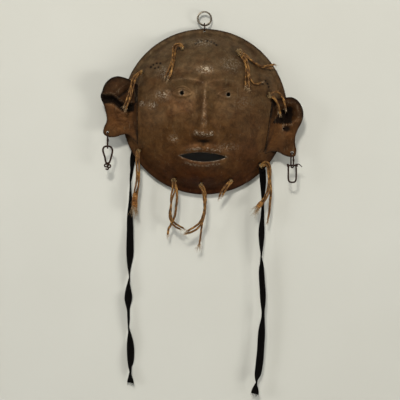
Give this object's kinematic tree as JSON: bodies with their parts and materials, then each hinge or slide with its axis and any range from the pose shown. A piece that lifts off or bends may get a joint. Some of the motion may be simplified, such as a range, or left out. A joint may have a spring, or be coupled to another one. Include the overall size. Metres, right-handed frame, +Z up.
{
  "type": "folk art mask",
  "caption": "Round domed mask of hammered sheet iron with separate sheet ears, eye holes, a mouth slit, twine ties, long ribbons and wire earrings, hung from a split ring.",
  "frame": {"origin": "centre of the split ring that the mask hangs from", "axes": "+X to the right of a person who looks at the mask, +Y from the face into the wall, +Z up"},
  "size_m": [0.2802, 0.0649, 0.5359],
  "materials": {
    "face_iron": "hammered, rusted and worn",
    "ear_iron": "rusted",
    "iron_wire": "dark rusted wire",
    "ring_steel": "dull plated, worn",
    "twine": "frayed plant fibre",
    "ribbon": "black woven ribbon"
  },
  "bodies": {
    "hanging_ring": {"split_ring": "ring_steel"},
    "hanger_link": {"hanger_link": "iron_wire"},
    "mask": {"face_plate": "face_iron", "ear_left": "ear_iron", "ear_right": "ear_iron", "knot_brow_left": "twine", "knot_temple_left": "twine", "knot_brow_right": "twine", "knot_temple_right": "twine", "knot_cheek_left": "twine", "knot_cheek_right": "twine", "knot_chin_left": "twine", "knot_chin_middle": "twine", "knot_chin_right": "twine", "tie_brow_left": "twine", "tie_temple_left": "twine", "tie_brow_right_long": "twine", "tie_brow_right_side": "twine", "tie_brow_right_out": "twine", "tie_temple_right_outer": "twine", "tie_temple_right_inner": "twine", "tie_cheek_left": "twine", "tie_cheek_right": "twine", "tie_cheek_right_tail": "twine", "tie_chin_left": "twine", "tie_chin_left_end": "twine", "tie_chin_middle": "twine", "tie_chin_middle_tail": "twine", "tie_chin_right": "twine", "end_knot_cheek_left": "twine", "end_knot_cheek_right": "twine", "ribbon_left": "ribbon", "ribbon_right": "ribbon", "ribbon_knot_left": "ribbon", "ribbon_knot_right": "ribbon"},
    "left_earring_hook": {"earring_hook_left": "iron_wire"},
    "left_earring_loop": {"earring_loop_left": "iron_wire"},
    "right_earring_hook": {"earring_hook_right": "iron_wire"},
    "right_earring_loop": {"earring_loop_right": "iron_wire"}
  },
  "joints": [
    {"name": "lift_from_wall", "type": "hinge", "parent": "hanging_ring", "child": "hanger_link", "pos_m": [0, 0, -0.00955], "axis": [-1, 0, 0], "range_deg": [0, 60]},
    {"name": "mask_swing", "type": "hinge", "parent": "hanger_link", "child": "mask", "pos_m": [0, 0, -0.0179], "axis": [0, 1, 0], "range_deg": [-30, 30]},
    {"name": "left_hook_swing", "type": "hinge", "parent": "mask", "child": "left_earring_hook", "pos_m": [-0.1341, -0.0142, -0.1605], "axis": [0, 1, 0], "range_deg": [-25, 70]},
    {"name": "left_loop_swing", "type": "hinge", "parent": "left_earring_hook", "child": "left_earring_loop", "pos_m": [-0.1341, -0.0142, -0.1796], "axis": [0, 1, 0], "range_deg": [-25, 25]},
    {"name": "right_hook_swing", "type": "hinge", "parent": "mask", "child": "right_earring_hook", "pos_m": [0.1214, -0.01429, -0.1888], "axis": [0, -1, 0], "range_deg": [-20, 70]},
    {"name": "right_loop_swing", "type": "hinge", "parent": "right_earring_hook", "child": "right_earring_loop", "pos_m": [0.1214, -0.01429, -0.2061], "axis": [0, -1, 0], "range_deg": [-25, 25]}
  ]
}
